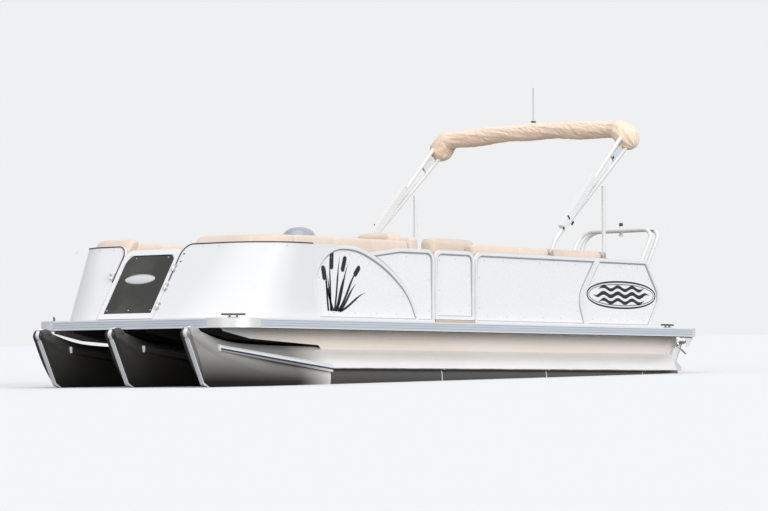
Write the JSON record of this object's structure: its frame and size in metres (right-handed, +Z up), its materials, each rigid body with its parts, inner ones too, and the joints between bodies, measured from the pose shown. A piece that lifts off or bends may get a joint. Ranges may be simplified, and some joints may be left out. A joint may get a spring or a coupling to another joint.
{
  "type": "pontoon boat",
  "caption": "Tritoon pontoon boat with a fenced deck, lounges, helm, folded bimini top, stern tow bar and a tilted outboard.",
  "frame": {"origin": "middle of the whole boat's length and width, at the underside of the tubes", "axes": "+X towards the bow, +Y to port, +Z up"},
  "size_m": [8.8655, 2.632, 3.305],
  "materials": {
    "mill_aluminium": "satin",
    "deck_vinyl": "matte",
    "anodised_rail": "satin",
    "stainless": "brushed",
    "white_panel": "gloss",
    "white_frame": "satin",
    "smoked_panel": "gloss",
    "lounge_shell": "satin",
    "tan_vinyl": "matte",
    "console_shell": "gloss",
    "smoked_screen": "gloss",
    "black_grip": "matte",
    "bimini_tube": "satin",
    "tan_canvas": "matte",
    "black_plastic": "matte",
    "motor_paint": "gloss"
  },
  "bodies": {
    "boat": {"bimini_mounts": "stainless", "bow_fence_port": "white_panel", "bow_fence_starboard": "white_panel", "bow_trim": "anodised_rail", "chair_pedestal": "stainless", "cleats_and_eyes": "stainless", "corner_caps": "anodised_rail", "cross_members": "mill_aluminium", "deck": "deck_vinyl", "fence_frame_port": "white_frame", "fence_frame_starboard": "white_frame", "fence_skin_port": "white_panel", "fence_skin_starboard": "white_panel", "gate_hinges": "stainless", "helm_console": "console_shell", "lounge_backs": "tan_vinyl", "lounge_bases": "lounge_shell", "lounge_seats": "tan_vinyl", "motor_bracket": "motor_paint", "motor_pod": "mill_aluminium", "risers": "mill_aluminium", "rub_rails": "anodised_rail", "stern_fence": "white_panel", "stern_trim": "anodised_rail", "tow_bar": "bimini_tube", "tow_bar_light": "black_plastic", "tube_centre": "mill_aluminium", "tube_port": "mill_aluminium", "tube_starboard": "mill_aluminium", "windscreen": "smoked_screen"},
    "bow_gate": {"bow_gate_frame": "white_frame", "bow_gate_panel": "smoked_panel"},
    "side_gate": {"side_gate_frame": "white_frame", "side_gate_panel": "white_panel"},
    "stern_gate": {"stern_gate": "white_panel"},
    "helm_wheel": {"steering_wheel": "black_grip"},
    "captain_chair": {"chair_seat": "tan_vinyl"},
    "bimini": {"bimini_hoops": "bimini_tube", "bimini_boot": "tan_canvas", "anchor_light": "black_plastic"},
    "braces": {"bimini_braces": "bimini_tube"},
    "tilt_bracket": {"motor_swivel": "motor_paint"},
    "outboard": {"motor_leg": "motor_paint", "motor_cowl": "motor_paint"},
    "propeller": {"propeller": "stainless"}
  },
  "joints": [
    {"name": "bow_gate_hinge", "type": "hinge", "parent": "boat", "child": "bow_gate", "pos_m": [4.16034, 0.253, 0.82256], "axis": [-0.5218, 0, 0.8531], "range_deg": [0, 95]},
    {"name": "side_gate_hinge", "type": "hinge", "parent": "boat", "child": "side_gate", "pos_m": [1.3938, 1.191, 1.1], "axis": [0, 0, 1], "range_deg": [0, 95]},
    {"name": "stern_gate_hinge", "type": "hinge", "parent": "boat", "child": "stern_gate", "pos_m": [-2.0012, -0.303, 1.1], "axis": [0, 0, -1], "range_deg": [0, 95]},
    {"name": "helm_wheel_turn", "type": "hinge", "parent": "boat", "child": "helm_wheel", "pos_m": [0.9018, -0.78, 1.43], "axis": [-0.9703, 0, 0.2419], "range_deg": [-540, 540]},
    {"name": "chair_swivel", "type": "hinge", "parent": "boat", "child": "captain_chair", "pos_m": [0.2568, -0.78, 1.16], "axis": [0, 0, 1], "continuous": true},
    {"name": "bimini_pivot", "type": "hinge", "parent": "boat", "child": "bimini", "pos_m": [-0.4162, 0, 1.53], "axis": [0, 1, 0], "range_deg": [0, 80]},
    {"name": "brace_pivot", "type": "hinge", "parent": "boat", "child": "braces", "pos_m": [-1.2802, 0, 1.53], "axis": [0, -1, 0], "range_deg": [0, 88]},
    {"name": "motor_tilt", "type": "hinge", "parent": "boat", "child": "tilt_bracket", "pos_m": [-3.2632, 0, 0.8], "axis": [0, 1, 0], "range_deg": [-56, 8]},
    {"name": "motor_steer", "type": "hinge", "parent": "tilt_bracket", "child": "outboard", "pos_m": [-3.29675, 0, 0.84974], "axis": [0.829, 0, 0.5592], "range_deg": [-30, 30]},
    {"name": "propeller_spin", "type": "hinge", "parent": "outboard", "child": "propeller", "pos_m": [-4.28873, 0, 0.67519], "axis": [0.5592, 0, -0.829], "continuous": true}
  ]
}
